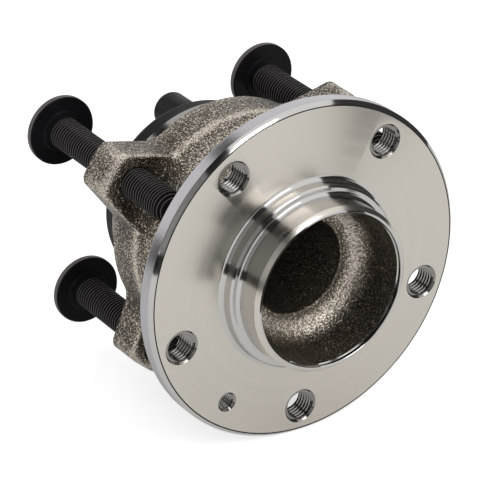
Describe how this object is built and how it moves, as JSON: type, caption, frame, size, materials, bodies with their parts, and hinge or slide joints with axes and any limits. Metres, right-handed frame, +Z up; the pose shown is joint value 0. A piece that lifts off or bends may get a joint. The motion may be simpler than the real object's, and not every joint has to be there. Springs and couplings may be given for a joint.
{
  "type": "wheel hub bearing",
  "caption": "Flanged wheel hub turning on two rows of balls in a forged four-lug outer ring, with seals, a sensor cap and flange bolts.",
  "frame": {"origin": "centre of the wheel mounting face, on the axle line", "axes": "+Y along the axle from the wheel towards the vehicle, +Z up through the sensor socket, X across"},
  "size_m": [0.1292, 0.1188, 0.1292],
  "materials": {
    "turned_steel": "fine turned faces, polished pilots, rough forged pocket",
    "bearing_steel": "ground and polished",
    "forged_steel": "rough forged skin, ground spigot",
    "pressed_steel": "bright pressed sheet",
    "cage_polymer": "moulded, satin",
    "black_polymer": "moulded, matt black",
    "seal_rubber": "matt black",
    "magnetic_rubber": "matt, dark brown black",
    "contact_brass": "tinned contact",
    "phosphate_steel": "black phosphate"
  },
  "bodies": {
    "housing": {"outer_ring": "forged_steel", "outboard_seal_case": "pressed_steel", "outboard_seal_lip": "seal_rubber", "rear_cap": "black_polymer", "cap_seal_ring": "seal_rubber", "speed_sensor": "black_polymer", "sensor_seal_ring": "seal_rubber", "connector_pin_1": "contact_brass", "connector_pin_2": "contact_brass", "mounting_bolt_1": "phosphate_steel", "mounting_bolt_2": "phosphate_steel", "mounting_bolt_3": "phosphate_steel", "mounting_bolt_4": "phosphate_steel"},
    "hub": {"hub": "turned_steel", "inner_ring": "bearing_steel", "encoder_carrier": "pressed_steel", "encoder_ring": "magnetic_rubber"},
    "outboard_row": {"outboard_cage": "cage_polymer", "outboard_ball_01": "bearing_steel", "outboard_ball_02": "bearing_steel", "outboard_ball_03": "bearing_steel", "outboard_ball_04": "bearing_steel", "outboard_ball_05": "bearing_steel", "outboard_ball_06": "bearing_steel", "outboard_ball_07": "bearing_steel", "outboard_ball_08": "bearing_steel", "outboard_ball_09": "bearing_steel", "outboard_ball_10": "bearing_steel", "outboard_ball_11": "bearing_steel", "outboard_ball_12": "bearing_steel"},
    "inboard_row": {"inboard_cage": "cage_polymer", "inboard_ball_01": "bearing_steel", "inboard_ball_02": "bearing_steel", "inboard_ball_03": "bearing_steel", "inboard_ball_04": "bearing_steel", "inboard_ball_05": "bearing_steel", "inboard_ball_06": "bearing_steel", "inboard_ball_07": "bearing_steel", "inboard_ball_08": "bearing_steel", "inboard_ball_09": "bearing_steel", "inboard_ball_10": "bearing_steel", "inboard_ball_11": "bearing_steel", "inboard_ball_12": "bearing_steel"}
  },
  "joints": [
    {"name": "hub_spin", "type": "hinge", "parent": "housing", "child": "hub", "pos_m": [0, 0, 0], "axis": [0, 1, 0], "continuous": true},
    {"name": "outboard_row_spin", "type": "hinge", "parent": "housing", "child": "outboard_row", "pos_m": [0, 0, 0], "axis": [0, 1, 0], "continuous": true},
    {"name": "inboard_row_spin", "type": "hinge", "parent": "housing", "child": "inboard_row", "pos_m": [0, 0, 0], "axis": [0, 1, 0], "continuous": true}
  ],
  "couplings": [
    {"joint": "outboard_row_spin", "follows": "hub_spin", "ratio": 0.409},
    {"joint": "inboard_row_spin", "follows": "hub_spin", "ratio": 0.409}
  ]
}
